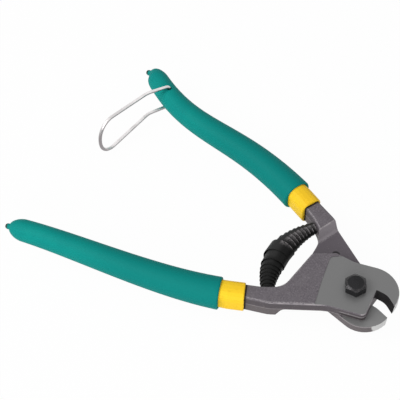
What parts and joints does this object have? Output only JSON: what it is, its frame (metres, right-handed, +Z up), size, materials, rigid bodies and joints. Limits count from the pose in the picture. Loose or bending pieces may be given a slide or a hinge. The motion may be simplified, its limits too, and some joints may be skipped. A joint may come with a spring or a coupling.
{
  "type": "cable cutter",
  "caption": "Hand cable cutter: lap-jointed hooked and straight shear jaws on a bolt, curved dipped handles, volute return spring and a wire loop that locks the handles shut.",
  "frame": {"origin": "centre of the pivot bolt's lower end, on the pivot axis", "axes": "+Z up the pivot bolt to its hex head, +X from the handles to the jaws, +Y towards the lever that carries the lock wire"},
  "size_m": [0.1884, 0.1311, 0.0275],
  "materials": {
    "fixed_lever": "forged steel, blasted, with a ground face on the head",
    "moving_lever": "forged steel, blasted, with a ground face on the head",
    "pivot_bolt": "black oxide steel",
    "pivot_washer": "zinc-plated steel",
    "pivot_nut": "zinc-plated steel",
    "nut_locking_ring": "nylon",
    "return_spring": "blackened spring strip",
    "lower_inner_sleeve": "dipped PVC, yellow",
    "upper_inner_sleeve": "dipped PVC, yellow",
    "lower_grip": "dipped PVC, teal green, matte",
    "upper_grip": "dipped PVC, teal green, matte",
    "lock_wire": "bright plated spring wire"
  },
  "bodies": {
    "lower_lever": {"fixed_lever": "fixed_lever", "pivot_bolt": "pivot_bolt", "pivot_washer": "pivot_washer", "pivot_nut": "pivot_nut", "nut_locking_ring": "nut_locking_ring", "lower_inner_sleeve": "lower_inner_sleeve", "lower_grip": "lower_grip", "return_spring": "return_spring"},
    "upper_lever": {"moving_lever": "moving_lever", "upper_inner_sleeve": "upper_inner_sleeve", "upper_grip": "upper_grip"},
    "lock_wire": {"lock_wire": "lock_wire"}
  },
  "joints": [
    {"name": "lever_pivot", "type": "hinge", "parent": "lower_lever", "child": "upper_lever", "pos_m": [0, 0, 0.0147], "axis": [0, 0, 1], "range_deg": [0, 32.2], "stiffness_Nm_per_rad": 2, "deforming": ["return_spring"]},
    {"name": "lock_wire_swing", "type": "hinge", "parent": "upper_lever", "child": "lock_wire", "pos_m": [-0.14659, 0.05511, 0.0147], "axis": [0, 0, 1], "range_deg": [-255, 82]}
  ]
}
